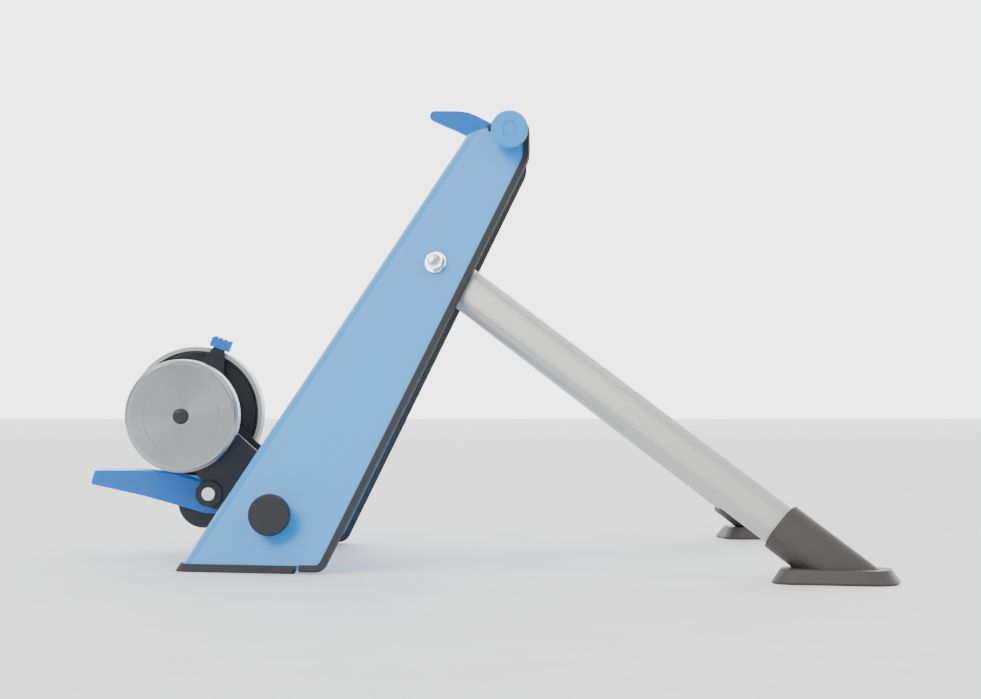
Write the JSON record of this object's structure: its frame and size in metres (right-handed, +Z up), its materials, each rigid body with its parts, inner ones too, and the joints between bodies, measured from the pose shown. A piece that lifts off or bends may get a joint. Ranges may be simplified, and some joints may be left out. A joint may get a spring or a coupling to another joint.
{
  "type": "bike trainer",
  "caption": "Folding bike trainer: two splayed blades with folding legs clamp a rear axle, and a swinging magnetic brake presses a roller on the tyre.",
  "frame": {"origin": "middle of the box on the floor", "axes": "+X the bike's forward direction, +Y its left side, +Z up"},
  "size_m": [0.7197, 0.6196, 0.4326],
  "materials": {
    "blue_paint": null,
    "deep_blue_plastic": null,
    "black_rubber": null,
    "dark_grey_plastic": null,
    "silver_metal": null,
    "bright_chrome": null,
    "pale_nylon": null,
    "black_metal": null,
    "turned_steel": null
  },
  "bodies": {
    "stand": {"base_pad_left": "black_rubber", "base_pad_right": "black_rubber", "clamp_sleeve_left": "turned_steel", "clamp_sleeve_right": "turned_steel", "cross_tube": "blue_paint", "edge_trim_left": "black_rubber", "edge_trim_right": "black_rubber", "leg_bolt_left": "bright_chrome", "leg_bolt_right": "bright_chrome", "leg_nut_left": "bright_chrome", "leg_nut_right": "bright_chrome", "leg_washer_left": "pale_nylon", "leg_washer_right": "pale_nylon", "stop_collar_left": "black_metal", "stop_collar_right": "black_metal", "tube_cap_left": "black_rubber", "tube_cap_right": "black_rubber", "tube_collar_left": "blue_paint", "tube_collar_right": "blue_paint", "upright_left": "blue_paint", "upright_right": "blue_paint"},
    "leg_right": {"leg_tube_right": "silver_metal", "leg_plug_right": "dark_grey_plastic", "leg_foot_right": "dark_grey_plastic"},
    "leg_left": {"leg_tube_left": "silver_metal", "leg_plug_left": "dark_grey_plastic", "leg_foot_left": "dark_grey_plastic"},
    "brake_yoke": {"yoke": "black_metal", "lever_pin": "bright_chrome", "roller_bearing_right": "turned_steel", "roller_bearing_left": "turned_steel", "brake_stator": "black_metal", "brake_magnet_1": "bright_chrome", "brake_magnet_2": "bright_chrome", "brake_magnet_3": "bright_chrome", "brake_magnet_4": "bright_chrome", "brake_magnet_5": "bright_chrome", "brake_magnet_6": "bright_chrome"},
    "rotor": {"press_roller": "turned_steel", "roller_shaft": "turned_steel", "flywheel": "turned_steel", "flywheel_bolt": "black_metal", "brake_drum": "silver_metal", "drum_nut": "bright_chrome"},
    "selector": {"selector_arm": "black_metal", "selector_tab": "deep_blue_plastic"},
    "lever": {"pressure_lever": "deep_blue_plastic", "lever_cam": "black_metal"},
    "knob": {"adjusting_knob": "blue_paint"},
    "screw": {"axle_screw": "turned_steel"},
    "clamp": {"clamp_lever": "deep_blue_plastic"},
    "plunger": {"axle_plunger": "turned_steel"}
  },
  "joints": [
    {"name": "leg_fold_right", "type": "hinge", "parent": "stand", "child": "leg_right", "pos_m": [-0.0304, -0.12668, 0.2741], "axis": [-0.2134, -0.9318, 0.2935], "range_deg": [-72, 0]},
    {"name": "leg_fold_left", "type": "hinge", "parent": "stand", "child": "leg_left", "pos_m": [-0.0304, 0.12668, 0.2741], "axis": [-0.2134, 0.9318, 0.2935], "range_deg": [0, 72]},
    {"name": "yoke_swing", "type": "hinge", "parent": "stand", "child": "brake_yoke", "pos_m": [-0.1754, 0, 0.0515], "axis": [0, 1, 0], "range_deg": [0, 18]},
    {"name": "lever_press", "type": "hinge", "parent": "brake_yoke", "child": "lever", "pos_m": [-0.2432, 0, 0.0626], "axis": [0, -1, 0], "range_deg": [0, 45]},
    {"name": "roller_spin", "type": "hinge", "parent": "brake_yoke", "child": "rotor", "pos_m": [-0.265, 0, 0.1353], "axis": [0, 1, 0], "continuous": true},
    {"name": "selector_turn", "type": "hinge", "parent": "brake_yoke", "child": "selector", "pos_m": [-0.265, 0, 0.1353], "axis": [0, 1, 0], "range_deg": [-30, 30]},
    {"name": "knob_turn", "type": "hinge", "parent": "stand", "child": "knob", "pos_m": [0.0355, 0, 0.394], "axis": [0, 1, 0], "range_deg": [-720, 720]},
    {"name": "screw_slide", "type": "slide", "parent": "stand", "child": "screw", "axis": [0, 1, 0], "range_m": [-0.005, 0.005]},
    {"name": "clamp_turn", "type": "hinge", "parent": "stand", "child": "clamp", "pos_m": [0.0355, 0, 0.394], "axis": [0, 1, 0], "range_deg": [0, 100]},
    {"name": "plunger_slide", "type": "slide", "parent": "stand", "child": "plunger", "axis": [0, 1, 0], "range_m": [0, 0.0087]}
  ],
  "couplings": [
    {"joint": "lever_press", "follows": "yoke_swing", "ratio": 2.5},
    {"joint": "knob_turn", "follows": "screw_slide", "rad_per_m": 2500},
    {"joint": "clamp_turn", "follows": "plunger_slide", "rad_per_m": 200}
  ]
}
